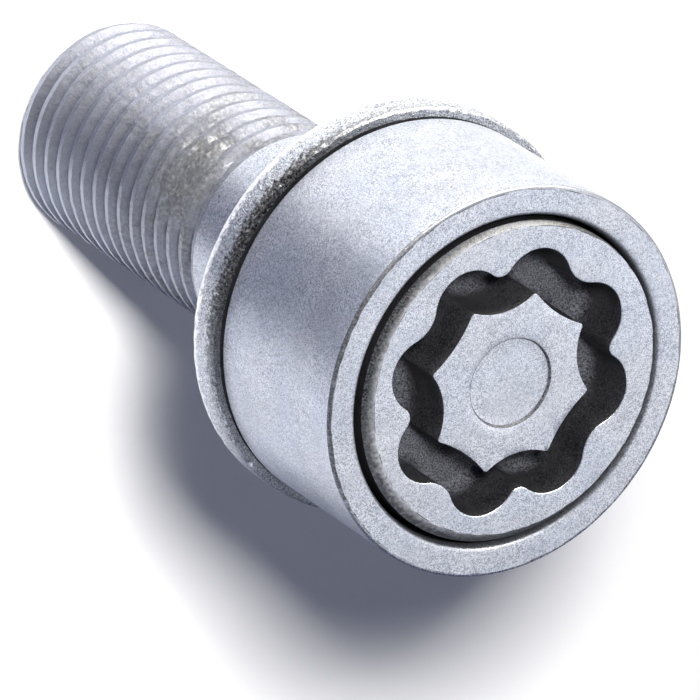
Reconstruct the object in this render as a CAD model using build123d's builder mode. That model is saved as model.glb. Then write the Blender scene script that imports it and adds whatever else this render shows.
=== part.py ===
"""Locking wheel bolt with a free-turning sleeve, standing on the flat end of its thread."""
import math
import os

from build123d import *

# Shank: an M14 thread with a plain neck above it, in millimetres
thread_diameter = 14.0
thread_length = 22.6
neck_length = 5.5
tip_chamfer_depth = 0.8
tip_chamfer_length = 0.9

# Ball seat and flange
seat_ball_radius = 14.0
seat_land = 1.5
flange_thickness = 2.7
flange_overhang = 0.6
flange_front_chamfer = 0.4
flange_rear_round = 0.9

# Head
head_radius = 10.2
head_edge_chamfer = 0.7
head_proud = 0.16

# Key groove: round lobes outside, a pointed core inside, tight and wide cusps by turns
lobe_pairs = 4
lobe_wall = 1.7
lobe_radius = 2.38
tight_cusp_round = 0.8
wide_cusp_round = 2.0
groove_width = 2.78
deep_scallop = 1.06
shallow_scallop = 0.75
groove_depth = 4.2

# Round recess in the middle of the core
core_recess_radius = 2.8
core_recess_depth = 0.15

# Free-turning sleeve
sleeve_length = 12.2
sleeve_wall = 1.95
sleeve_edge_chamfer = 0.22
sleeve_mouth_chamfer = 0.38
running_clearance = 0.25
flange_clearance = 0.3

# Split spring ring between the head and the sleeve
ring_setback = 7.4
ring_thickness = 1.0
ring_head_depth = 0.7
ring_sleeve_depth = 0.5
ring_split = 3.0
ring_seat_clearance = 0.05
ring_running_clearance = 0.15

# Radii that follow from those sizes
shank_radius = thread_diameter / 2
tip_flat_radius = shank_radius - tip_chamfer_depth
bore_radius = head_radius + running_clearance
sleeve_radius = bore_radius + sleeve_wall
flange_radius = sleeve_radius + flange_overhang
seat_edge_radius = flange_radius - seat_land
lobe_tip_radius = head_radius - lobe_wall
lobe_centre_radius = lobe_tip_radius - lobe_radius
core_point_radius = lobe_tip_radius - groove_width

# Heights above the end of the thread
seat_start = thread_length + neck_length
ball_centre = seat_start + math.sqrt(seat_ball_radius**2 - shank_radius**2)
flange_rear = ball_centre - math.sqrt(seat_ball_radius**2 - seat_edge_radius**2)
flange_front = flange_rear + flange_thickness
sleeve_rear = flange_front + flange_clearance
sleeve_front = sleeve_rear + sleeve_length
head_face = sleeve_front + head_proud
ring_middle = head_face - ring_setback

# Profiles are drawn as radius and height in the XZ plane; the head's face looks up
face_plane = Plane.XY.offset(head_face)


def polar(radius, degrees):
    """Point of the face plane at a radius and an angle."""
    angle = math.radians(degrees)
    return Vector(radius * math.cos(angle), radius * math.sin(angle))


def on_ball(radius):
    """Point of the bolt's profile on the ball seat, at a radius."""
    return (radius, ball_centre - math.sqrt(seat_ball_radius**2 - radius**2))


def cusp_centre(cusp_round):
    """Distance from the axis to the centre of a cusp's round, which touches the lobes on both sides."""
    along = lobe_centre_radius * math.cos(half_pitch)
    across = lobe_centre_radius * math.sin(half_pitch)
    return along + math.sqrt((lobe_radius + cusp_round) ** 2 - across**2)


lobe_count = 2 * lobe_pairs
lobe_pitch = 360 / lobe_count
half_pitch = math.radians(lobe_pitch / 2)
cusp_rounds = [tight_cusp_round, wide_cusp_round] * lobe_pairs
scallops = [deep_scallop, shallow_scallop] * lobe_pairs


def lobe_angle(index):
    """Direction of a lobe; the cusp of the same index comes just before it."""
    return (index + 0.5) * lobe_pitch


def touch_point(lobe_index, cusp_index):
    """Point where a lobe runs into the round of the cusp beside it."""
    cusp_round = cusp_rounds[cusp_index % lobe_count]
    lobe = polar(lobe_centre_radius, lobe_angle(lobe_index))
    cusp = polar(cusp_centre(cusp_round), lobe_angle(cusp_index) - lobe_pitch / 2)
    return lobe + (cusp - lobe).normalized() * lobe_radius


# Forged bolt: shank, ball seat, flange and head in one piece
with BuildPart() as bolt:
    with BuildSketch(Plane.XZ):
        with BuildLine():
            Polyline(
                (0, 0),
                (tip_flat_radius, 0),
                (shank_radius, tip_chamfer_length),
                (shank_radius, seat_start),
            )
            ThreePointArc(on_ball(shank_radius), on_ball((shank_radius + seat_edge_radius) / 2),
                          on_ball(seat_edge_radius))
            Polyline(
                (seat_edge_radius, flange_rear),
                (flange_radius, flange_rear),
                (flange_radius, flange_front),
                (head_radius, flange_front),
                (head_radius, head_face),
                (0, head_face),
                (0, 0),
            )
        make_face()
    revolve(axis=Axis.Z)
    rings = bolt.edges().filter_by(lambda edge: edge.is_closed)
    rim_edges = rings.group_by(SortBy.RADIUS)[-1].sort_by(Axis.Z)
    fillet(rim_edges[0], flange_rear_round)
    chamfer(rim_edges[-1], flange_front_chamfer)
    chamfer(bolt.faces().sort_by(Axis.Z)[-1].edges(), head_edge_chamfer)

    # Key groove between the lobed wall and the pointed core
    with BuildSketch(face_plane):
        with BuildLine():
            for i in range(lobe_count):
                cusp_inside = cusp_centre(cusp_rounds[i]) - cusp_rounds[i]
                cusp_start = touch_point(i - 1, i)
                cusp_end = touch_point(i, i)
                lobe_end = touch_point(i, i + 1)
                ThreePointArc(cusp_start, polar(cusp_inside, lobe_angle(i) - lobe_pitch / 2), cusp_end)
                ThreePointArc(cusp_end, polar(lobe_tip_radius, lobe_angle(i)), lobe_end)
        make_face()
        with BuildLine():
            for i in range(lobe_count):
                core_start = polar(core_point_radius, lobe_angle(i - 1))
                core_inside = polar(core_point_radius - scallops[i], lobe_angle(i) - lobe_pitch / 2)
                core_end = polar(core_point_radius, lobe_angle(i))
                ThreePointArc(core_start, core_inside, core_end)
        make_face(mode=Mode.SUBTRACT)
    extrude(amount=-groove_depth, mode=Mode.SUBTRACT)

    # Plain round recess in the core's face
    with BuildSketch(face_plane):
        Circle(core_recess_radius)
    extrude(amount=-core_recess_depth, mode=Mode.SUBTRACT)

    # Groove round the head for the spring ring
    with BuildSketch(Plane.XZ):
        with Locations((head_radius, ring_middle)):
            Rectangle(2 * ring_head_depth, ring_thickness + 2 * ring_seat_clearance)
    revolve(axis=Axis.Z, mode=Mode.SUBTRACT)

# Sleeve that turns freely round the head
with BuildPart() as sleeve:
    with BuildSketch(Plane.XZ):
        with Locations((bore_radius, sleeve_rear)):
            Rectangle(sleeve_wall, sleeve_length, align=(Align.MIN, Align.MIN))
    revolve(axis=Axis.Z)
    end_faces = sleeve.faces().filter_by(GeomType.PLANE).sort_by(Axis.Z)
    rear_edges = end_faces[0].edges().sort_by(SortBy.RADIUS)
    front_edges = end_faces[-1].edges().sort_by(SortBy.RADIUS)
    chamfer([rear_edges[0], rear_edges[-1], front_edges[-1]], sleeve_edge_chamfer)
    chamfer(front_edges[0], sleeve_mouth_chamfer)
    with BuildSketch(Plane.XZ):
        with Locations((bore_radius, ring_middle)):
            Rectangle(
                2 * (ring_sleeve_depth + ring_running_clearance),
                ring_thickness + 2 * ring_running_clearance,
            )
    revolve(axis=Axis.Z, mode=Mode.SUBTRACT)

# Split spring ring, seated in the head's groove and reaching into the sleeve's
ring_inner_radius = head_radius - ring_head_depth + ring_seat_clearance
ring_outer_radius = bore_radius + ring_sleeve_depth
ring_split_angle = math.degrees(ring_split / ring_outer_radius)
with BuildPart() as retaining_ring:
    with BuildSketch(Plane.XZ):
        with Locations((ring_inner_radius, ring_middle)):
            Rectangle(ring_outer_radius - ring_inner_radius, ring_thickness, align=(Align.MIN, Align.CENTER))
    revolve(axis=Axis.Z, revolution_arc=360 - ring_split_angle)

os.makedirs("parts", exist_ok=True)
bolt.part.label = "bolt"
sleeve.part.label = "sleeve"
retaining_ring.part.label = "retaining_ring"
export_step(bolt.part, "parts/bolt.step")
export_step(sleeve.part, "parts/sleeve.step")
export_step(retaining_ring.part, "parts/retaining_ring.step")
print(f"length {head_face:.2f}, flange radius {flange_radius:.2f}")
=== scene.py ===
"""Locking wheel bolt with a free-turning sleeve: detailed pieces, materials, light and camera."""
import math

import bmesh
import bpy
import numpy as np
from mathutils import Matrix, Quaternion, Vector, noise


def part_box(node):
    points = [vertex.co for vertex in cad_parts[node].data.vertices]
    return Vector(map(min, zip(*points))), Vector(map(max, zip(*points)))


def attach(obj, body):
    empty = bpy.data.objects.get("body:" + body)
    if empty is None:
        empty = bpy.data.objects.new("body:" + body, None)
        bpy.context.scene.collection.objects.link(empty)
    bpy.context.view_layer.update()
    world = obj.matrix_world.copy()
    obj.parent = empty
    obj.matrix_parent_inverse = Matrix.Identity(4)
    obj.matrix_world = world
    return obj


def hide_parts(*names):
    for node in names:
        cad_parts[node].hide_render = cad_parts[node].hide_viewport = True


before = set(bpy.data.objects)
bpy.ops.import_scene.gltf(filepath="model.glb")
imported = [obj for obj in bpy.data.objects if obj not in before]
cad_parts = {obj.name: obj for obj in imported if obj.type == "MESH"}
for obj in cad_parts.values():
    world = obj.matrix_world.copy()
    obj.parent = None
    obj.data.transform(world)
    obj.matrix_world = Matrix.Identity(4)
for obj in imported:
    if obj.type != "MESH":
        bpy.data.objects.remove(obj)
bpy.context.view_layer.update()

MM = 0.001


def node_box(node):
    """Lowest and highest corner of a solid, in millimetres to the nearest hundredth."""
    return [[round(place / MM, 2) for place in corner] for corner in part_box(node)]


# Sizes read from the solids; lengths here and below are in millimetres
bolt_high = node_box("bolt")[1]
sleeve_low, sleeve_high = node_box("sleeve")
ring_low, ring_high = node_box("retaining_ring")
flange_radius = bolt_high[0]
head_face = bolt_high[2]
sleeve_radius = sleeve_high[0]
sleeve_rear = sleeve_low[2]
sleeve_front = sleeve_high[2]
ring_middle = (ring_low[2] + ring_high[2]) / 2

# Thread, with its dents and the spot where it is worn and clogged
thread_radius = 7.0
thread_length = 22.6
thread_pitch = 1.5
thread_depth = 0.86
crest_share = 0.125
run_out_slope = 0.55
tip_radius = 6.05
tip_slope = 0.95
thread_wear = 0.10
dents_in_millimetre = 1.4
dent_level = 0.75
worn_spot = (5.1, -4.8, 19.2)
worn_reach = (1.5, 5.0)
worn_fill = 0.92
worn_dent_rise = 0.2

# Neck and ball seat
neck_length = 5.5
neck_fillet = 0.9
seat_ball_radius = 14.0
seat_first_radius = 8.2
seat_land = 1.5

# Flange; each fractal has the fade of its finer steps, their step in scale and their number
flange_clearance = 0.3
flange_thickness = 2.7
flange_rear_round = 0.85
flange_front_chamfer = 0.12
flange_root_round = 0.3
gap_reach = 0.01
chip_depth = 0.25
chips_in_millimetre = 1.1
chip_fractal = (0.8, 2.0, 4)
lump_depth = 0.07
lumps_in_millimetre = 1.6
lump_fractal = (0.7, 2.0, 4)

# Head, with the worn band round its edge
head_radius = 10.2
head_rim_inset = 0.03
head_band_width = 0.38
head_band_drop = 0.32
head_band_drift = 0.32
head_band_drift_angle = math.radians(10)
head_rim_drift = (-0.12, 0.0)
edge_line = 0.045

# Key groove: round lobes outside, a pointed core inside, tight and wide cusps by turns
lobe_count = 8
lobe_radius = 2.38
lobe_wall = 1.7
cusp_rounds = (0.8, 2.0)
core_point_radius = 5.76
core_point_blunt = 0.09
core_point_soft = 0.035
scallop_depths = (1.06, 0.75)
groove_depth = 4.2
groove_edge = 0.08
groove_foot = 0.8
groove_drift = (-0.15, 0.0)
core_edge = 0.05
recess_radius = 2.8
recess_depth = 0.15
recess_edge = 0.06

# Sleeve, and the grooves that the spring ring sits in
running_clearance = 0.25
sleeve_edge_round = 0.2
sleeve_rear_chamfer = 0.1
sleeve_mouth_width = 0.35
sleeve_mouth_depth = 0.7
head_ring_depth = 0.7
head_ring_half = 0.55
sleeve_ring_depth = 0.65
sleeve_ring_half = 0.65

# Fineness of the meshes
columns = 360
thread_rows_in_turn = 8
pole_radius = 0.02
thread_merge = 0.002
seam_merge = 0.003
sharp_angle = math.radians(24)

# Sizes that follow from those
seat_start = thread_length + neck_length
seat_edge_radius = flange_radius - seat_land
flange_front = sleeve_rear - flange_clearance
flange_rear = flange_front - flange_thickness
bore_radius = head_radius + running_clearance
head_rim_radius = head_radius - head_rim_inset
lobe_centre_radius = head_radius - lobe_wall - lobe_radius
groove_floor = head_face - groove_depth
half_pitch = math.pi / lobe_count
angles = np.arange(columns) * math.tau / columns

# Noise scales of the finishes, in cells to the metre
grain_scale = 13000
cluster_scale = 0.4 * grain_scale
speckle_scale = 0.75 * grain_scale
patch_scale = 330
blotch_scale = 420
cloud_scale = 170
stain_scale = 1100
pit_scale = 6500
shade_lump_scale = 8000
ragged_scale = 3600
edge_shade_scale = 800
crest_wear_scale = 900
grit_scale = 4200
grit_patch_scale = 420
groove_cloud_scale = 500
drawn_line_scale = 2500
card_shade_scale = 300

# Colours of the finishes; tones go from dark to light, and the cloud's from cool to warm
white = (1.0, 1.0, 1.0)
flake_dark = (0.32, 0.341, 0.408)
flake_middle = (0.56, 0.588, 0.674)
flake_light = (0.75, 0.78, 0.86)
flake_tones = (flake_dark, flake_middle, flake_light)
rim_tones = ((0.19, 0.20, 0.24), (0.58, 0.61, 0.69), (0.93, 0.95, 0.99))
band_tones = ((0.05, 0.052, 0.06), (0.13, 0.134, 0.15), (0.27, 0.272, 0.28))
blotch_tones = ((0.88, 0.885, 0.895), white)
cloud_tones = ((0.975, 0.99, 1.0), (1.0, 0.995, 0.98))
stain_tint = (0.72, 0.74, 0.82)
pit_colour = (0.05, 0.05, 0.06)
# Pale metal: a painted highlight on the flange's rear edge, and rubbed flecks with painted light on the band
sheen_and_rubbed_colour = (0.92, 0.93, 0.97)
# Dark lumps of painted shade, and the darker line round the recess
soil_and_shade_tones = ((0.010, 0.010, 0.012), (0.20, 0.205, 0.23))
# Thin dark line of painted shade along edges
edge_shade_tones = ((0.09, 0.09, 0.10), flake_middle)
thread_tones = ((0.134, 0.143, 0.18), (0.29, 0.305, 0.372), (0.417, 0.436, 0.52))
speck_tones = ((0.65, 0.65, 0.66), white)
grit_tones = ((0.10, 0.102, 0.104), (0.21, 0.213, 0.216), (0.38, 0.385, 0.395))
clogged_tones = ((0.065, 0.067, 0.072), (0.10, 0.103, 0.109), (0.19, 0.194, 0.202))
groove_tones = ((0.008, 0.008, 0.010), (0.055, 0.056, 0.063))
groove_floor_tones = ((0.022, 0.023, 0.028), (0.16, 0.163, 0.19))
# Painted shade in the bore and the gap under the sleeve
bore_shade_tones = ((0.006, 0.006, 0.007), (0.025, 0.025, 0.028))
spring_tones = ((0.10, 0.10, 0.11), (0.24, 0.24, 0.25))
# Dark bluish cards, painted shade seen in reflections
card_shade_tones = ((0.02, 0.028, 0.07), (0.036, 0.048, 0.108))

# Shine and relief of the finishes
flake_metallic = 0.92
sheen_and_rubbed_metallic = 0.4
edge_line_metallic = 0.85
thread_metallic = 0.9
clogged_metallic = 0.5
groove_metallic = 0.3
flake_roughness = (0.34, 0.52)
thread_roughness = (0.35, 0.52)
groove_roughness = (0.40, 0.58)
shade_roughness = 0.8
clogged_roughness = 0.9
card_roughness = 0.9
grain_height = 0.008
speckle_height = 0.04
grit_height = 0.07
pit_height = 0.2

# Painted shade, painted highlights, painted light, wear and dirt: where on the piece there is least of each
# and where there is most
rim_shade_heights = (flange_front - 1.14, flange_front - 0.04)
rim_shade_side = (-2.0, 6.0)
rim_shade_half = (4.0, -6.0)
rim_highlight_heights = (flange_front - 1.14, flange_rear + 0.36)
mouth_shade_radii = (bore_radius + 0.55, bore_radius - 0.1)
edge_shade_side = (-3.0, 9.0)
edge_shade_half = (10.0, 2.0)
band_shade_heights = (head_face, head_face - 0.2)
band_shade_side = (1.5, 6.5)
band_shade_half = (2.0, -2.0)
band_wear_and_light_heights = (head_face - 0.22, head_face + 0.04)
band_wear_and_light_side = (-1.0, 6.0)
pale_tip_heights = (18.0, 4.0)
pale_tip_side = (3.0, 7.0)
grit_heights = (10.0, 19.0)
clogged_distances = (6.0, 1.0)
floor_speckle_heights = (groove_floor + 1.3, groove_floor)

# Stage and camera; angles are in degrees, and table_half and camera_clip are in metres
table_half = 4.0
table_colour = (0.86, 0.86, 0.87)
table_lift = 0.02
card_lift = 1.0
ambient_colour = (0.55, 0.62, 1.0)
ambient_strength = 0.12
camera_azimuth = -45.19
camera_elevation = 51.46
camera_roll = 123.47
camera_distance = 604.54
camera_aim = Vector((2.496, 2.479, 33.237))
camera_lens = 514.3
camera_clip = 0.01


# Outlines and meshes
def cusp_places(theta):
    """For each angle, which cusp is nearest (0 tight, 1 wide) and how far round from it the angle lies."""
    nearest = np.round(theta / (2 * half_pitch))
    return (nearest % 2).astype(int), np.abs(theta - nearest * 2 * half_pitch)


def groove_wall(theta):
    """Radius of the groove's outer wall: round lobes, with a rounded cusp between each two."""
    kind, away = cusp_places(theta)
    cusp_round = np.array(cusp_rounds)[kind]
    along = lobe_centre_radius * math.cos(half_pitch)
    across = lobe_centre_radius * math.sin(half_pitch)
    cusp_centre = along + np.sqrt((lobe_radius + cusp_round) ** 2 - across**2)
    share = lobe_radius / (lobe_radius + cusp_round)
    meet = np.arctan2(across * (1 - share), along + (cusp_centre - along) * share)
    off_lobe = half_pitch - away
    lobe = lobe_centre_radius * np.cos(off_lobe)
    lobe += np.sqrt(lobe_radius**2 - (lobe_centre_radius * np.sin(off_lobe)) ** 2)
    off_cusp = np.minimum(away, meet)
    cusp = cusp_centre * np.cos(off_cusp)
    cusp -= np.sqrt(cusp_round**2 - (cusp_centre * np.sin(off_cusp)) ** 2)
    return np.where(away < meet, cusp, lobe)


def core_wall(theta):
    """Radius of the groove's inner wall: a core with eight blunt points and a hollow arc between each two."""
    kind, away = cusp_places(theta)
    inside = core_point_radius - np.array(scallop_depths)[kind]
    reach = core_point_radius * math.cos(half_pitch) - inside
    centre = (core_point_radius**2 - inside**2) / (2 * reach)
    hollow = centre * np.cos(away) - np.sqrt((centre - inside) ** 2 - (centre * np.sin(away)) ** 2)
    blunt = core_point_radius - core_point_blunt
    soft = core_point_soft
    return -soft * np.log(np.exp(-hollow / soft) + np.exp(-blunt / soft))


def arc(centre_radius, centre_height, radius, start, end, steps):
    """Rows of a round in the outline, from one angle to another in degrees."""
    turns = np.radians(np.linspace(start, end, steps))
    return [(centre_radius + radius * math.cos(t), centre_height + radius * math.sin(t)) for t in turns]


def line(start, end, steps):
    """Rows of a straight stretch of the outline, without its ends."""
    shares = np.linspace(0, 1, steps + 2)[1:-1]
    return [tuple((1 - s) * np.array(p) + s * np.array(q) for p, q in zip(start, end)) for s in shares]


class Outline:
    """Rows of a turned outline, each a radius and a height, and the row where each finish starts."""

    def __init__(self):
        """Starts with no rows."""
        self.rows = []
        self.finish_starts = {}

    def start(self, finish, back=0):
        """Starts a finish at the next row, or some rows back from it, and gives that row's number."""
        row = len(self.rows) - back
        self.finish_starts[row] = finish
        return row


def lathe(outline, closed=False):
    """Points and faces of an outline turned round the axis, and each face's finish."""
    rows = outline.rows
    points = []
    for radius, height in rows:
        r = np.broadcast_to(radius, columns)
        z = np.broadcast_to(height, columns)
        points.append(np.stack([r * np.cos(angles), r * np.sin(angles), z], axis=1))
    faces, finishes = [], []
    finish = "coat"
    for i in range(len(rows) if closed else len(rows) - 1):
        finish = outline.finish_starts.get(i, finish)
        low = i * columns
        high = (i + 1) % len(rows) * columns
        for k in range(columns):
            following = (k + 1) % columns
            faces.append((low + k, low + following, high + following, high + k))
            finishes.append(finish)
    return np.concatenate(points), faces, finishes


def scene_object(name, data):
    """Object with the given data, in the scene."""
    obj = bpy.data.objects.new(name, data)
    bpy.context.scene.collection.objects.link(obj)
    return obj


def mesh_object(name, points, faces, finishes, materials):
    """Object with a smooth mesh, in metres; materials has the finishes' materials in the slots' order."""
    slots = list(materials)
    mesh = bpy.data.meshes.new(name)
    mesh.from_pydata((points * MM).tolist(), [], faces)
    mesh.polygons.foreach_set("material_index", [slots.index(finish) for finish in finishes])
    for material in materials.values():
        mesh.materials.append(material)
    mesh.shade_smooth()
    return scene_object(name, mesh)


# Node helpers
def new_material(name):
    """Material with a Principled shader, and its tree and shader."""
    material = bpy.data.materials.new(name)
    material.use_nodes = True
    tree = material.node_tree
    return material, tree, tree.nodes["Principled BSDF"]


def math_value(tree, operation, first, second=0.0):
    """Result of a sum on two values, each a socket or a number."""
    node = tree.nodes.new("ShaderNodeMath")
    node.operation = operation
    for socket, value in zip(node.inputs, (first, second)):
        if isinstance(value, (int, float)):
            socket.default_value = value
        else:
            tree.links.new(value, socket)
    return node.outputs[0]


def plus(tree, first, second):
    """Sum of two values."""
    return math_value(tree, "ADD", first, second)


def minus(tree, first, second):
    """First value less the second."""
    return math_value(tree, "SUBTRACT", first, second)


def times(tree, first, second):
    """Product of two values."""
    return math_value(tree, "MULTIPLY", first, second)


def weigh(tree, first, second, share):
    """Mean of two values, of which the second has the given share."""
    return plus(tree, times(tree, first, 1 - share), times(tree, second, share))


def map_range(tree, value, low, high, to_low, to_high):
    """Value carried from one range to another, and held there."""
    node = tree.nodes.new("ShaderNodeMapRange")
    for name, number in zip(("From Min", "From Max", "To Min", "To Max"), (low, high, to_low, to_high)):
        node.inputs[name].default_value = number
    tree.links.new(value, node.inputs["Value"])
    return node.outputs["Result"]


def distance_from(tree, place, point):
    """Distance of a place from a fixed point."""
    node = tree.nodes.new("ShaderNodeVectorMath")
    node.operation = "DISTANCE"
    node.inputs[1].default_value = point
    tree.links.new(place, node.inputs[0])
    return node.outputs["Value"]


def ramp(tree, value, places, tones):
    """Colour ramp with a tone at each place."""
    node = tree.nodes.new("ShaderNodeValToRGB")
    elements = node.color_ramp.elements
    while len(elements) < len(places):
        elements.new(0.5)
    for element, place, tone in zip(elements, places, tones):
        element.position = place
        element.color = (*tone, 1)
    tree.links.new(value, node.inputs["Fac"])
    return node.outputs["Color"]


def mix_colour(tree, share, first, second, blend="MIX"):
    """Mix of two colours, each a socket or a colour; share is a socket or a number."""
    node = tree.nodes.new("ShaderNodeMix")
    node.data_type = "RGBA"
    node.blend_type = blend
    # The node has sockets for other kinds of data too; these are the factor and the two colours
    for socket, value in zip((node.inputs[0], node.inputs[6], node.inputs[7]), (share, first, second)):
        if isinstance(value, bpy.types.NodeSocket):
            tree.links.new(value, socket)
        elif isinstance(value, tuple):
            socket.default_value = (*value, 1)
        else:
            socket.default_value = value
    return node.outputs[2]


def tint(tree, colour, tone):
    """Colour multiplied by a tone."""
    return mix_colour(tree, 1.0, colour, tone, "MULTIPLY")


def bump(tree, height, strength, distance):
    """Bump normal from a height; distance is the relief's full height."""
    node = tree.nodes.new("ShaderNodeBump")
    node.inputs["Strength"].default_value = strength
    node.inputs["Distance"].default_value = distance * MM
    tree.links.new(height, node.inputs["Height"])
    return node.outputs["Normal"]


def piece_point(tree):
    """Place on the piece, in metres."""
    return tree.nodes.new("ShaderNodeTexCoord").outputs["Object"]


def piece_place(tree, axis):
    """Place on the piece along one axis, in metres."""
    parts = tree.nodes.new("ShaderNodeSeparateXYZ")
    tree.links.new(piece_point(tree), parts.inputs["Vector"])
    return parts.outputs[axis]


def piece_radius(tree):
    """Distance from the bolt's axis, in metres."""
    flat = tree.nodes.new("ShaderNodeVectorMath")
    flat.operation = "MULTIPLY"
    flat.inputs[1].default_value = (1, 1, 0)
    tree.links.new(piece_point(tree), flat.inputs[0])
    return distance_from(tree, flat.outputs["Vector"], (0, 0, 0))


def noise_value(tree, scale, seed, detail=2.0, stretch=(1, 1, 1)):
    """Noise on the piece; scale is the number of cells in a metre."""
    mapping = tree.nodes.new("ShaderNodeMapping")
    mapping.inputs["Location"].default_value = (seed, seed, seed)
    mapping.inputs["Scale"].default_value = stretch
    texture = tree.nodes.new("ShaderNodeTexNoise")
    texture.inputs["Scale"].default_value = scale
    texture.inputs["Detail"].default_value = detail
    tree.links.new(piece_point(tree), mapping.inputs["Vector"])
    tree.links.new(mapping.outputs["Vector"], texture.inputs["Vector"])
    return texture.outputs["Fac"]


def side_share(tree, axis, places, least, most):
    """Share that goes evenly from least to most between two places along an axis."""
    start, end = places
    return map_range(tree, piece_place(tree, axis), start * MM, end * MM, least, most)


def ragged_share(tree, value, places, seed, raggedness=1.2, softness=0.15):
    """Share that grows raggedly from nothing at one place to all at another; value is in metres."""
    none, full = places
    slope = map_range(tree, value, none * MM, full * MM, 0.0, 1.0)
    wander = minus(tree, noise_value(tree, ragged_scale, seed, detail=4.0), 0.5)
    ragged = plus(tree, slope, times(tree, wander, raggedness))
    middle = 0.55
    return map_range(tree, ragged, middle - softness, middle + softness, 0.0, 1.0)


# Painted shade, painted highlights and wear
def rim_painted_shade(tree):
    """Share of painted shade on the flange: towards the front edge by the sleeve, and heaviest on one quarter
    of the way round.
    """
    front = ragged_share(tree, piece_place(tree, "Z"), rim_shade_heights, 31, raggedness=2.2, softness=0.25)
    side = side_share(tree, "X", rim_shade_side, 0.35, 1.0)
    half = side_share(tree, "Y", rim_shade_half, 0.4, 1.0)
    return times(tree, front, times(tree, side, half))


def rim_painted_highlight(tree):
    """Share of painted highlight on the flange: pale metal along its rear edge."""
    return ragged_share(tree, piece_place(tree, "Z"), rim_highlight_heights, 33)


def mouth_painted_shade(tree):
    """Share of painted shade on the sleeve: round the mouth, darker towards the bore."""
    inside = ragged_share(tree, piece_radius(tree), mouth_shade_radii, 35, raggedness=0.8, softness=0.45)
    return times(tree, inside, 0.5)


def edge_painted_shade(tree):
    """Share of painted shade on the sleeve's front edge: most of the way round, and heavier on one side."""
    side = side_share(tree, "X", edge_shade_side, 0.45, 0.85)
    half = ragged_share(tree, piece_place(tree, "Y"), edge_shade_half, 37, raggedness=1.4, softness=0.4)
    return times(tree, side, half)


def band_painted_shade(tree):
    """Share of painted shade on the head's worn band: mostly on one quarter of it, and less towards the face.
    """
    side = ragged_share(tree, piece_place(tree, "X"), band_shade_side, 39, raggedness=1.4, softness=0.5)
    half = side_share(tree, "Y", band_shade_half, 0.15, 0.85)
    deep = side_share(tree, "Z", band_shade_heights, 0.3, 1.0)
    return times(tree, deep, times(tree, side, half))


def band_wear_and_light(tree):
    """Share of pale metal on the head's worn band, rubbed flecks with painted light: towards the face, on one
    half of the way round.
    """
    high = ragged_share(tree, piece_place(tree, "Z"), band_wear_and_light_heights, 41, raggedness=1.5, softness=0.5)
    return times(tree, high, side_share(tree, "X", band_wear_and_light_side, 0.0, 0.6))


# Finishes
def flake_grain(tree, seed):
    """Grain of fine flakes in small clusters, stronger in some patches than in others."""
    fine = noise_value(tree, grain_scale, seed, detail=3.0)
    cluster = noise_value(tree, cluster_scale, seed + 5)
    centred = minus(tree, weigh(tree, fine, cluster, 0.25), 0.5)
    patch = map_range(tree, noise_value(tree, patch_scale, seed + 11, detail=3.0), 0.38, 0.64, 0.7, 1.3)
    return plus(tree, times(tree, centred, patch), 0.5)


def flake_colour(tree, grain, seed, tones, spread):
    """Colour of the flakes, with dull blotches, faint warm and cool clouds, and stains."""
    colour = ramp(tree, grain, (0.5 - spread, 0.5, 0.5 + spread), tones)
    blotch = noise_value(tree, blotch_scale, seed + 3, detail=3.0)
    colour = tint(tree, colour, ramp(tree, blotch, (0.3, 0.7), blotch_tones))
    cloud = noise_value(tree, cloud_scale, seed + 21)
    colour = tint(tree, colour, ramp(tree, cloud, (0.38, 0.62), cloud_tones))
    stain = map_range(tree, noise_value(tree, stain_scale, seed + 13, detail=4.0), 0.56, 0.72, 0.0, 0.4)
    return mix_colour(tree, stain, colour, tint(tree, colour, stain_tint))


def flake_coat(name, seed, tones=flake_tones, spread=0.095, roughness=flake_roughness, pit_share=0.0,
               soil=None, sheen_and_wear=None):
    """Matt zinc flake coat: a fine grain of light and dark flakes, soft clouds and, if asked, pits.

    soil and sheen_and_wear take the tree and give the share of painted shade and of pale metal, which is a
    painted highlight on the flange and rubbed flecks with painted light on the band.
    """
    material, tree, shader = new_material(name)
    shader.inputs["Metallic"].default_value = flake_metallic
    grain = flake_grain(tree, seed)
    colour = flake_colour(tree, grain, seed, tones, spread)
    rough = map_range(tree, grain, 0.35, 0.65, *roughness)
    relief = grain
    relief_height = grain_height
    if pit_share:
        pits = noise_value(tree, pit_scale, seed + 7)
        hollow = map_range(tree, pits, 0.62, 0.70, 0.0, pit_share)
        colour = mix_colour(tree, hollow, colour, pit_colour)
        relief = minus(tree, pits, times(tree, hollow, 0.3))
        relief_height = pit_height * pit_share
    # Pale metal: painted highlight on the flange, rubbed flecks with painted light on the band
    if sheen_and_wear:
        sheen_and_rubbed = sheen_and_wear(tree)
        colour = mix_colour(tree, sheen_and_rubbed, colour, sheen_and_rubbed_colour)
        metallic = map_range(tree, sheen_and_rubbed, 0.0, 1.0, flake_metallic, sheen_and_rubbed_metallic)
        tree.links.new(metallic, shader.inputs["Metallic"])
    # Painted shade, in dark lumps
    if soil:
        shade_share = soil(tree)
        lumps = noise_value(tree, shade_lump_scale, seed + 17, detail=3.0)
        colour = mix_colour(tree, shade_share, colour, ramp(tree, lumps, (0.38, 0.72), soil_and_shade_tones))
        rough = math_value(tree, "MAXIMUM", rough, times(tree, shade_share, shade_roughness))
    tree.links.new(colour, shader.inputs["Base Color"])
    tree.links.new(rough, shader.inputs["Roughness"])
    tree.links.new(bump(tree, relief, 0.5, relief_height), shader.inputs["Normal"])
    return material


def edge_shade_line(name, seed):
    """Thin dark line of painted shade along an edge, broken by noise into dashes with bare coat between them.
    """
    material, tree, shader = new_material(name)
    nicks = noise_value(tree, edge_shade_scale, seed, detail=5.0)
    tree.links.new(ramp(tree, nicks, (0.44, 0.57), edge_shade_tones), shader.inputs["Base Color"])
    tree.links.new(map_range(tree, nicks, 0.4, 0.6, 0.6, 0.4), shader.inputs["Roughness"])
    shader.inputs["Metallic"].default_value = edge_line_metallic
    return material


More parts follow.
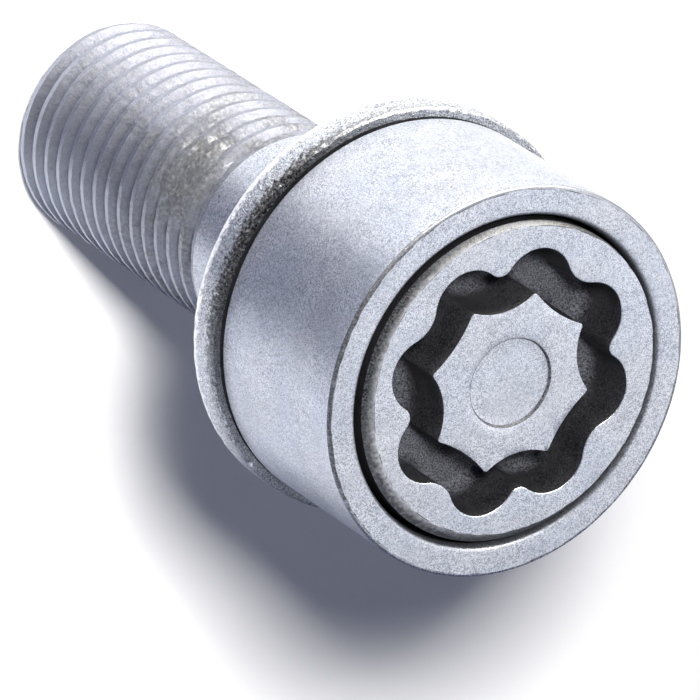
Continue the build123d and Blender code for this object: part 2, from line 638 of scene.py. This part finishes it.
def thread_colour(tree, grain, grit, clogged):
    """Colour of the thread: grey roots and paler crests, pale on one side of the tip, gritty towards the
    run-out, and dark where it is clogged."""
    root_radius = thread_radius - thread_depth
    crest = map_range(tree, piece_radius(tree), root_radius * MM, thread_radius * MM, 0.0, 1.0)
    wear = noise_value(tree, crest_wear_scale, 8, detail=4.0)
    colour = ramp(tree, plus(tree, crest, times(tree, wear, 0.8)), (0.3, 0.7, 1.0), thread_tones)
    colour = tint(tree, colour, ramp(tree, grain, (0.3, 0.7), speck_tones))
    side = side_share(tree, "X", pale_tip_side, 0.0, 0.4)
    end = side_share(tree, "Z", pale_tip_heights, 0.0, 1.0)
    colour = mix_colour(tree, times(tree, side, end), colour, flake_middle)
    patch = map_range(tree, noise_value(tree, grit_patch_scale, 21, detail=4.0), 0.44, 0.60, 0.0, 0.6)
    gritty = times(tree, patch, side_share(tree, "Z", grit_heights, 0.25, 1.0))
    colour = mix_colour(tree, gritty, colour, ramp(tree, grit, (0.38, 0.5, 0.62), grit_tones))
    clog_colour = ramp(tree, grit, (0.36, 0.52, 0.70), clogged_tones)
    return mix_colour(tree, times(tree, clogged, 0.9), colour, clog_colour)


def thread_coat():
    """The coat on the thread, rougher and duller where it is clogged."""
    material, tree, shader = new_material("thread coat")
    grain = noise_value(tree, grain_scale, 5, detail=4.0)
    grit = noise_value(tree, grit_scale, 17, detail=4.0)
    from_spot = distance_from(tree, piece_point(tree), Vector(worn_spot) * MM)
    clogged = ragged_share(tree, from_spot, clogged_distances, 23, raggedness=1.0, softness=0.5)
    tree.links.new(thread_colour(tree, grain, grit, clogged), shader.inputs["Base Color"])
    rough = map_range(tree, grain, 0.35, 0.65, *thread_roughness)
    rough = math_value(tree, "MAXIMUM", rough, times(tree, clogged, clogged_roughness))
    tree.links.new(rough, shader.inputs["Roughness"])
    metallic = map_range(tree, clogged, 0.0, 1.0, thread_metallic, clogged_metallic)
    tree.links.new(metallic, shader.inputs["Metallic"])
    relief = times(tree, grit, map_range(tree, clogged, 0.0, 1.0, 0.5, 0.65))
    tree.links.new(bump(tree, relief, 0.6, grit_height), shader.inputs["Normal"])
    return material


def groove_coat(name, seed, tones, floor_tones=None):
    """Dark colour with a fine speckle, which may have tones of its own towards the key groove's floor; in the
    bore and the gaps it is painted shade.
    """
    material, tree, shader = new_material(name)
    grain = noise_value(tree, speckle_scale, seed, detail=3.0)
    cloud = noise_value(tree, groove_cloud_scale, seed + 2)
    colour = ramp(tree, weigh(tree, grain, cloud, 0.25), (0.38, 0.62), tones)
    if floor_tones:
        low = ragged_share(tree, piece_place(tree, "Z"), floor_speckle_heights, seed + 4, softness=0.4)
        colour = mix_colour(tree, low, colour, ramp(tree, grain, (0.36, 0.64), floor_tones))
    tree.links.new(colour, shader.inputs["Base Color"])
    tree.links.new(map_range(tree, grain, 0.35, 0.65, *groove_roughness), shader.inputs["Roughness"])
    tree.links.new(bump(tree, grain, 0.8, speckle_height), shader.inputs["Normal"])
    shader.inputs["Metallic"].default_value = groove_metallic
    return material


def spring_steel():
    """Dark oiled spring steel with fine drawn lines."""
    material, tree, shader = new_material("spring steel")
    lines = noise_value(tree, drawn_line_scale, 2, detail=3.0, stretch=(1, 1, 6))
    tree.links.new(ramp(tree, lines, (0.35, 0.65), spring_tones), shader.inputs["Base Color"])
    tree.links.new(map_range(tree, lines, 0.3, 0.7, 0.25, 0.45), shader.inputs["Roughness"])
    shader.inputs["Metallic"].default_value = 1.0
    return material


# Thread
def thread_grid(tree):
    """Flat grid for the thread, the share of a turn at each column and the turn that each row starts at."""
    turns = math.ceil(thread_length / thread_pitch) + 1
    grid = tree.nodes.new("GeometryNodeMeshGrid")
    grid.inputs["Size X"].default_value = 1
    grid.inputs["Size Y"].default_value = 1
    grid.inputs["Vertices X"].default_value = columns + 1
    grid.inputs["Vertices Y"].default_value = turns * thread_rows_in_turn + 1
    place = tree.nodes.new("ShaderNodeSeparateXYZ")
    tree.links.new(tree.nodes.new("GeometryNodeInputPosition").outputs["Position"], place.inputs["Vector"])
    turn = plus(tree, place.outputs["X"], 0.5)
    row_turn = minus(tree, times(tree, plus(tree, place.outputs["Y"], 0.5), turns), 1.0)
    return grid, turn, row_turn


def on_circle(tree, angle, radius, height):
    """Point at an angle, a radius and a height."""
    point = tree.nodes.new("ShaderNodeCombineXYZ")
    tree.links.new(times(tree, math_value(tree, "COSINE", angle), radius), point.inputs["X"])
    tree.links.new(times(tree, math_value(tree, "SINE", angle), radius), point.inputs["Y"])
    tree.links.new(height, point.inputs["Z"])
    return point.outputs["Vector"]


def thread_form(tree, given, row_turn, place):
    """Radius of the thread: straight flanks between a flat crest and a sharp root, with small dents all over,
    and clogged roots round the worn spot; place is in millimetres."""
    flank = map_range(tree, math_value(tree, "PINGPONG", row_turn, 0.5), crest_share, 0.5, 0.0, 1.0)
    clogged = map_range(tree, distance_from(tree, place, worn_spot), *worn_reach, worn_fill, 0.0)
    sunk = times(tree, flank, given["Depth"])
    filled = times(tree, given["Depth"], minus(tree, 1.0, clogged))
    radius = minus(tree, given["Radius"], math_value(tree, "MINIMUM", sunk, filled))
    dents = tree.nodes.new("ShaderNodeTexNoise")
    dents.inputs["Scale"].default_value = dents_in_millimetre
    dents.inputs["Detail"].default_value = 3.0
    tree.links.new(place, dents.inputs["Vector"])
    level = minus(tree, dent_level, times(tree, clogged, worn_dent_rise))
    depth = times(tree, given["Wear"], plus(tree, 1.0, clogged))
    dented = plus(tree, radius, times(tree, minus(tree, dents.outputs["Fac"], level), depth))
    return math_value(tree, "MINIMUM", dented, given["Radius"])


def thread_ends(tree, given, radius, height):
    """Radius held inside the cone at the tip, and brought out at the run-out under the neck."""
    tip = plus(tree, given["Tip Radius"], times(tree, height, given["Tip Slope"]))
    below = times(tree, minus(tree, given["Length"], height), given["Run-out Slope"])
    run_out = minus(tree, given["Radius"], below)
    return math_value(tree, "MAXIMUM", math_value(tree, "MINIMUM", radius, tip), run_out)


def thread_tree(material):
    """Geometry Nodes tree that winds a thread: a grid whose rows climb one pitch in a turn."""
    tree = bpy.data.node_groups.new("Thread", "GeometryNodeTree")
    sizes = {
        "Radius": thread_radius * MM,
        "Pitch": thread_pitch * MM,
        "Depth": thread_depth * MM,
        "Length": thread_length * MM,
        "Tip Radius": tip_radius * MM,
        "Tip Slope": tip_slope,
        "Run-out Slope": run_out_slope,
        "Wear": thread_wear * MM,
    }
    for name in sizes:
        tree.interface.new_socket(name=name, in_out="INPUT", socket_type="NodeSocketFloat")
    tree.interface.new_socket(name="Geometry", in_out="OUTPUT", socket_type="NodeSocketGeometry")
    given = tree.nodes.new("NodeGroupInput").outputs
    result = tree.nodes.new("NodeGroupOutput")

    grid, turn, row_turn = thread_grid(tree)
    angle = times(tree, turn, math.tau)
    height = times(tree, plus(tree, row_turn, turn), given["Pitch"])
    height = math_value(tree, "MINIMUM", math_value(tree, "MAXIMUM", height, 0.0), given["Length"])
    place = on_circle(tree, angle, thread_radius, math_value(tree, "DIVIDE", height, MM))
    radius = thread_form(tree, given, row_turn, place)
    radius = thread_ends(tree, given, radius, height)

    moved = tree.nodes.new("GeometryNodeSetPosition")
    tree.links.new(on_circle(tree, angle, radius, height), moved.inputs["Position"])
    merged = tree.nodes.new("GeometryNodeMergeByDistance")
    merged.inputs["Distance"].default_value = thread_merge * MM
    realized = tree.nodes.new("GeometryNodeRealizeInstances")
    dressed = tree.nodes.new("GeometryNodeSetMaterial")
    dressed.inputs["Material"].default_value = material
    tree.links.new(grid.outputs["Mesh"], moved.inputs["Geometry"])
    for before, after in ((moved, merged), (merged, realized), (realized, dressed), (dressed, result)):
        tree.links.new(before.outputs["Geometry"], after.inputs["Geometry"])
    return tree, sizes


def thread_mesh(material):
    """Plain mesh of the wound thread."""
    tree, sizes = thread_tree(material)
    holder = scene_object("thread", bpy.data.meshes.new("thread"))
    modifier = holder.modifiers.new("Thread", "NODES")
    modifier.node_group = tree
    for item in tree.interface.items_tree:
        if item.in_out == "INPUT":
            modifier[item.identifier] = sizes[item.name]
    wound = holder.evaluated_get(bpy.context.evaluated_depsgraph_get())
    mesh = bpy.data.meshes.new_from_object(wound)
    bpy.data.objects.remove(holder)
    return mesh


# Bolt
def add_neck(outline):
    """Adds the neck above the thread, its fillet and the ball seat."""
    ball_centre = seat_start + math.sqrt(seat_ball_radius**2 - thread_radius**2)
    seat_slope = math.asin(thread_radius / seat_ball_radius)
    fillet_height = seat_start - neck_fillet * math.tan((math.pi / 2 - seat_slope) / 2)
    fillet_end = 90 + math.degrees(seat_slope)
    neck_low = (thread_radius, thread_length)
    outline.rows += [neck_low, *line(neck_low, (thread_radius, fillet_height), 3)]
    outline.rows += arc(thread_radius + neck_fillet, fillet_height, neck_fillet, 180, fillet_end, 6)
    for radius in np.linspace(seat_first_radius, seat_edge_radius, 9):
        outline.rows.append((radius, ball_centre - math.sqrt(seat_ball_radius**2 - radius**2)))


def rim_chips():
    """How far the flange's front edge is chipped back at each angle."""
    places = [Vector((math.cos(a), math.sin(a), 0)) * flange_radius * chips_in_millimetre for a in angles]
    return np.array([max(0.0, noise.fractal(place, *chip_fractal)) for place in places]) * chip_depth


def add_flange(outline):
    """Adds the flange, with its chipped front edge and the gap under the sleeve in dark painted shade; gives
    its end rows.
    """
    first = outline.start("rim", back=1)
    round_top = flange_rear + flange_rear_round
    outline.rows += arc(flange_radius - flange_rear_round, round_top, flange_rear_round, -90, 0, 7)
    chamfer = flange_front_chamfer + rim_chips()
    chamfer_low = (flange_radius, flange_front - chamfer)
    chamfer_high = (flange_radius - chamfer, flange_front)
    outline.rows += line((flange_radius, round_top), chamfer_low, 4)
    outline.rows += [chamfer_low, chamfer_high]
    gap_edge = (sleeve_radius + gap_reach, flange_front)
    outline.rows += [*line(chamfer_high, gap_edge, 2), gap_edge]
    # Painted shade under the sleeve and on the head's side inside it
    outline.start("bore", back=1)
    root_radius = head_radius + flange_root_round
    outline.rows += line(gap_edge, (root_radius, flange_front), 3)
    outline.rows += arc(root_radius, flange_front + flange_root_round, flange_root_round, -90, -180, 6)
    return first, len(outline.rows) - 1


def add_head(outline):
    """Adds the head's side, with the spring ring's groove, and its worn band.

    Gives the band's first row and the first row after it.
    """
    ring_floor = head_radius - head_ring_depth
    low = ring_middle - head_ring_half
    high = ring_middle + head_ring_half
    outline.rows += [(head_radius, low), (ring_floor, low), (ring_floor, high), (head_radius, high)]
    band_width = head_band_width + head_band_drift * np.cos(angles - head_band_drift_angle)
    band_low = (head_rim_radius, head_face - head_band_drop)
    band_high = (head_rim_radius - band_width, head_face)
    outline.rows += line((head_radius, high), band_low, 3)
    first = outline.start("band")
    outline.rows += [band_low, *line(band_low, band_high, 3), band_high]
    # Thin line of painted shade where the band meets the face
    outline.start("nicks", back=1)
    outline.rows.append((band_high[0] - edge_line, head_face))
    outline.start("coat", back=1)
    return first, len(outline.rows)


def add_groove(outline):
    """Adds the head's face and the key groove, up to the core's edge."""
    wall = groove_wall(angles)
    core = core_wall(angles)
    foot_height = groove_floor + groove_foot
    outline.rows += line(outline.rows[-1], (wall + groove_edge, head_face), 3)
    outline.rows += arc(wall + groove_edge, head_face - groove_edge, groove_edge, 90, 180, 6)
    outline.start("groove", back=2)
    outline.rows += line((wall, head_face - groove_edge), (wall, foot_height), 6)
    outline.rows += arc(wall - groove_foot, foot_height, groove_foot, 0, -90, 7)
    outline.rows += line((wall - groove_foot, groove_floor), (core + groove_foot, groove_floor), 3)
    outline.rows += arc(core + groove_foot, foot_height, groove_foot, -90, -180, 7)
    outline.rows += line((core, foot_height), (core, head_face - core_edge), 6)
    outline.rows += arc(core - core_edge, head_face - core_edge, core_edge, 0, 90, 3)
    outline.start("coat", back=2)


def add_recess(outline):
    """Adds the core's end and its round recess, in to a small hole at the axis that is closed later."""
    mouth = recess_radius + recess_edge
    foot = recess_radius - recess_edge
    low = head_face - recess_depth
    outline.rows += line((core_wall(angles) - core_edge, head_face), (mouth, head_face), 3)
    # Darker line round the recess's edge
    outline.start("soil")
    outline.rows += arc(mouth, head_face - recess_edge, recess_edge, 90, 180, 3)
    outline.rows += arc(foot, low + recess_edge / 2, recess_edge, -30, -90, 3)
    outline.start("coat", back=1)
    outline.rows += [*line((foot, low), (pole_radius, low), 3), (pole_radius, low)]


def roughen_flange(points, first, last):
    """Pushes in the points between two rows by a little noise, as on a forged and blasted rim."""
    for i in range((first + 1) * columns, last * columns):
        point = Vector(points[i])
        step = noise.fractal(point * lumps_in_millimetre, *lump_fractal) * lump_depth
        way = Vector((point.x, point.y, 0)).normalized()
        points[i] = point + way * min(step, 0.0)


def join_thread(mesh, materials):
    """Adds the wound thread to the bolt's mesh, merges them where they meet and closes the open ends."""
    body = bmesh.new()
    body.from_mesh(mesh)
    first = len(body.faces)
    body.from_mesh(thread_mesh(materials["thread"]))
    body.faces.ensure_lookup_table()
    for face in body.faces[first:]:
        face.material_index = list(materials).index("thread")
    bmesh.ops.remove_doubles(body, verts=body.verts, dist=seam_merge * MM)
    bmesh.ops.holes_fill(body, edges=[edge for edge in body.edges if edge.is_boundary], sides=0)
    bmesh.ops.recalc_face_normals(body, faces=body.faces)
    body.to_mesh(mesh)
    body.free()


def make_bolt(materials):
    """The bolt in one closed mesh: thread, neck, ball seat, flange, head and key groove."""
    outline = Outline()
    add_neck(outline)
    flange_first, flange_last = add_flange(outline)
    rim_first, groove_first = add_head(outline)
    add_groove(outline)
    add_recess(outline)
    points, faces, finishes = lathe(outline)
    roughen_flange(points, flange_first, flange_last)
    points[rim_first * columns:groove_first * columns, :2] += head_rim_drift
    points[groove_first * columns:, :2] += groove_drift
    bolt = mesh_object("bolt_detail", points, faces, finishes, materials)
    join_thread(bolt.data, materials)
    bolt.data.shade_smooth()
    bolt.data.set_sharp_from_angle(angle=sharp_angle)
    return bolt


# Sleeve
def make_sleeve(materials):
    """The sleeve, with softened edges, a rounded mouth and the groove for the spring ring."""
    outline = Outline()
    edge = sleeve_edge_round
    side_low = (sleeve_radius, sleeve_rear + sleeve_rear_chamfer)
    outline.rows += [(sleeve_radius - sleeve_rear_chamfer, sleeve_rear), side_low]
    outline.rows += line(side_low, (sleeve_radius, sleeve_front - edge), 6)
    outline.start("edge")
    outline.rows += arc(sleeve_radius - edge, sleeve_front - edge, edge, 0, 90, 6)
    # Thin line of painted shade where the edge meets the face
    outline.start("nicks", back=1)
    face_edge = (sleeve_radius - edge - edge_line, sleeve_front)
    outline.rows.append(face_edge)
    outline.start("coat", back=1)
    mouth = bore_radius + sleeve_mouth_width
    outline.rows += line(face_edge, (mouth, sleeve_front), 3)
    for turn in np.linspace(0, math.pi / 2, 9):
        inward = sleeve_mouth_width * math.sin(turn)
        outline.rows.append((mouth - inward, sleeve_front - sleeve_mouth_depth * (1 - math.cos(turn))))
    # Painted shade in the bore and the ring groove in it
    outline.start("bore", back=1)
    ring_floor = bore_radius + sleeve_ring_depth
    low = ring_middle - sleeve_ring_half
    high = ring_middle + sleeve_ring_half
    outline.rows += [(bore_radius, high), (ring_floor, high), (ring_floor, low), (bore_radius, low)]
    outline.rows.append((bore_radius, sleeve_rear + sleeve_rear_chamfer))
    outline.rows.append((bore_radius + sleeve_rear_chamfer, sleeve_rear))
    sleeve = mesh_object("sleeve_detail", *lathe(outline, closed=True), materials)
    sleeve.data.set_sharp_from_angle(angle=sharp_angle)
    return sleeve


# Painted shade for the bore and for the gap under the sleeve
bore_shade_coat = groove_coat("bore", 3.0, bore_shade_tones)
bolt = make_bolt({
    "coat": flake_coat("bolt coat", 1.0),
    "rim": flake_coat("rough rim", 4.0, rim_tones, spread=0.11, pit_share=0.9,
                      soil=rim_painted_shade, sheen_and_wear=rim_painted_highlight),
    "band": flake_coat("worn band", 6.0, band_tones, spread=0.18, roughness=(0.46, 0.62),
                       soil=band_painted_shade, sheen_and_wear=band_wear_and_light),
    "groove": groove_coat("groove", 2.0, groove_tones, groove_floor_tones),
    "nicks": edge_shade_line("head edge shade line", 14.0),
    "thread": thread_coat(),
    "soil": groove_coat("dark recess edge", 7.0, soil_and_shade_tones),
    "bore": bore_shade_coat,
})
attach(bolt, "bolt_body")
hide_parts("bolt")

sleeve = make_sleeve({
    "coat": flake_coat("sleeve coat", 9.0, soil=mouth_painted_shade),
    "bore": bore_shade_coat,
    "nicks": edge_shade_line("sleeve edge shade line", 8.0),
    # Rounded front edge, with painted shade heavier on one side
    "edge": flake_coat("rubbed sleeve edge", 12.0, spread=0.2, roughness=(0.22, 0.34), soil=edge_painted_shade),
})
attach(sleeve, "sleeve_body")
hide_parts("sleeve")

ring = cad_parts["retaining_ring"]
ring.data.materials.clear()
ring.data.materials.append(spring_steel())


# Stage, light and camera
def direction(azimuth, elevation):
    """Unit vector at an azimuth from +X and an elevation, in degrees."""
    a = math.radians(azimuth)
    e = math.radians(elevation)
    return Vector((math.cos(a) * math.cos(e), math.sin(a) * math.cos(e), math.sin(e)))


def rays_that_see_white(tree):
    """1 for camera, glossy and transmission rays."""
    path = tree.nodes.new("ShaderNodeLightPath")
    seen = math_value(tree, "MAXIMUM", path.outputs["Is Camera Ray"], path.outputs["Is Glossy Ray"])
    return math_value(tree, "MAXIMUM", seen, path.outputs["Is Transmission Ray"])


def make_floor():
    """White table with a soft lift, so that it shows as white beside the bolt's shadow."""
    material, tree, shader = new_material("white table")
    tree.nodes.remove(shader)
    paper = tree.nodes.new("ShaderNodeBsdfDiffuse")
    paper.inputs["Color"].default_value = (*table_colour, 1)
    lift = tree.nodes.new("ShaderNodeEmission")
    tree.links.new(times(tree, rays_that_see_white(tree), table_lift), lift.inputs["Strength"])
    both = tree.nodes.new("ShaderNodeAddShader")
    tree.links.new(paper.outputs["BSDF"], both.inputs[0])
    tree.links.new(lift.outputs["Emission"], both.inputs[1])
    tree.links.new(both.outputs["Shader"], tree.nodes["Material Output"].inputs["Surface"])
    corners = [(x * table_half, y * table_half, 0) for x, y in ((-1, -1), (1, -1), (1, 1), (-1, 1))]
    mesh = bpy.data.meshes.new("table")
    mesh.from_pydata(corners, [], [(0, 1, 2, 3)])
    mesh.materials.append(material)
    return scene_object("table", mesh)


def make_world():
    """White surroundings for what is seen, and a cooler, dimmer light for what is lit."""
    world = bpy.data.worlds.new("studio")
    bpy.context.scene.world = world
    world.use_nodes = True
    tree = world.node_tree
    lit = tree.nodes["Background"]
    lit.inputs["Color"].default_value = (*ambient_colour, 1)
    lit.inputs["Strength"].default_value = ambient_strength
    seen = tree.nodes.new("ShaderNodeBackground")
    seen.inputs["Color"].default_value = (*white, 1)
    mixed = tree.nodes.new("ShaderNodeMixShader")
    tree.links.new(rays_that_see_white(tree), mixed.inputs["Fac"])
    tree.links.new(lit.outputs["Background"], mixed.inputs[1])
    tree.links.new(seen.outputs["Background"], mixed.inputs[2])
    tree.links.new(mixed.outputs["Shader"], tree.nodes["World Output"].inputs["Surface"])


def table_card(azimuth, near, far, spread):
    """Corners of a card that lies just over the table and widens away from the bolt."""
    out = direction(azimuth, 0)
    across = Vector((-out.y, out.x, 0)) * math.tan(math.radians(spread))
    lift = Vector((0, 0, card_lift))
    return [out * r + across * r * side + lift for r, side in ((near, -1), (far, -1), (far, 1), (near, 1))]


def hung_card(azimuth, elevation, distance, half_width, half_height):
    """Corners of a card that hangs square to the line from the bolt's middle."""
    way = direction(azimuth, elevation)
    across = Vector((0, 0, 1)).cross(way).normalized()
    upward = way.cross(across) * half_height
    across *= half_width
    middle = Vector((0, 0, head_face / 2)) + way * distance
    return [middle + across * a + upward * u for a, u in ((-1, -1), (1, -1), (1, 1), (-1, 1))]


def make_dark_cards():
    """Dark cards that show only in what shines, as painted shade in the reflections: two on the table, one
    behind the bolt, one by the camera.
    """
    material, tree, shader = new_material("dark card")
    card_shade = noise_value(tree, card_shade_scale, 0.0)
    tree.links.new(ramp(tree, card_shade, (0.3, 0.7), card_shade_tones), shader.inputs["Base Color"])
    shader.inputs["Roughness"].default_value = card_roughness
    cards = [
        table_card(azimuth=-32, near=9, far=120, spread=30),
        table_card(azimuth=112, near=7, far=140, spread=44),
        hung_card(azimuth=100, elevation=17, distance=48, half_width=60, half_height=37),
        hung_card(azimuth=-26, elevation=38, distance=320, half_width=310, half_height=225),
    ]
    corners = [corner * MM for card in cards for corner in card]
    mesh = bpy.data.meshes.new("dark_cards")
    mesh.from_pydata(corners, [], [tuple(range(i * 4, i * 4 + 4)) for i in range(len(cards))])
    mesh.materials.append(material)
    card = scene_object("dark_cards", mesh)
    card.visible_camera = False
    card.visible_diffuse = False
    card.visible_shadow = False
    return card


def make_lamp(name, azimuth, elevation, size, power, colour, distance=0.6, diffuse=True, glossy=True):
    """Soft lamp that stands off from the bolt's middle and is turned towards it; lengths are in metres."""
    data = bpy.data.lights.new(name, "AREA")
    data.shape = "RECTANGLE"
    data.size, data.size_y = size
    data.energy = power
    data.color = colour
    lamp = scene_object(name, data)
    way = direction(azimuth, elevation)
    lamp.location = Vector((0, 0, head_face / 2 * MM)) + way * distance
    lamp.rotation_mode = "QUATERNION"
    lamp.rotation_quaternion = way.to_track_quat("Z", "Y")
    lamp.visible_camera = False
    lamp.visible_diffuse = diffuse
    lamp.visible_glossy = glossy


def make_lamps():
    """Key, top and fill lamps for the shine, a side lamp, and a shade lamp for the table and its shadow."""
    make_lamp("key", azimuth=246, elevation=7, size=(0.72, 0.3), power=16.5,
              colour=(1.0, 0.945, 0.81), diffuse=False)
    make_lamp("top", azimuth=212, elevation=44, size=(0.6, 0.35), power=0.6,
              colour=(1.0, 0.97, 0.9), diffuse=False)
    make_lamp("side", azimuth=32, elevation=4, size=(0.28, 0.28), power=1.35,
              colour=(0.86, 0.91, 1.0))
    make_lamp("fill", azimuth=165, elevation=45, size=(0.1, 0.1), power=0.022,
              colour=(1.0, 0.99, 0.97), distance=0.16, diffuse=False)
    make_lamp("shade", azimuth=-59, elevation=52, size=(0.08, 0.08), power=6.0,
              colour=(1.0, 0.985, 0.955), glossy=False)


def make_camera():
    """Camera at the photograph's viewing angle, turned about its own line of sight."""
    data = bpy.data.cameras.new("camera")
    data.lens = camera_lens
    data.clip_start = camera_clip
    camera = scene_object("camera", data)
    back = direction(camera_azimuth, camera_elevation)
    roll = Quaternion((0, 0, 1), math.radians(camera_roll))
    camera.location = (camera_aim + back * camera_distance) * MM
    camera.rotation_mode = "QUATERNION"
    camera.rotation_quaternion = (-back).to_track_quat("-Z", "Y") @ roll
    bpy.context.scene.camera = camera


make_floor()
make_dark_cards()
make_world()
make_lamps()
make_camera()
bpy.context.scene.view_settings.view_transform = "Standard"
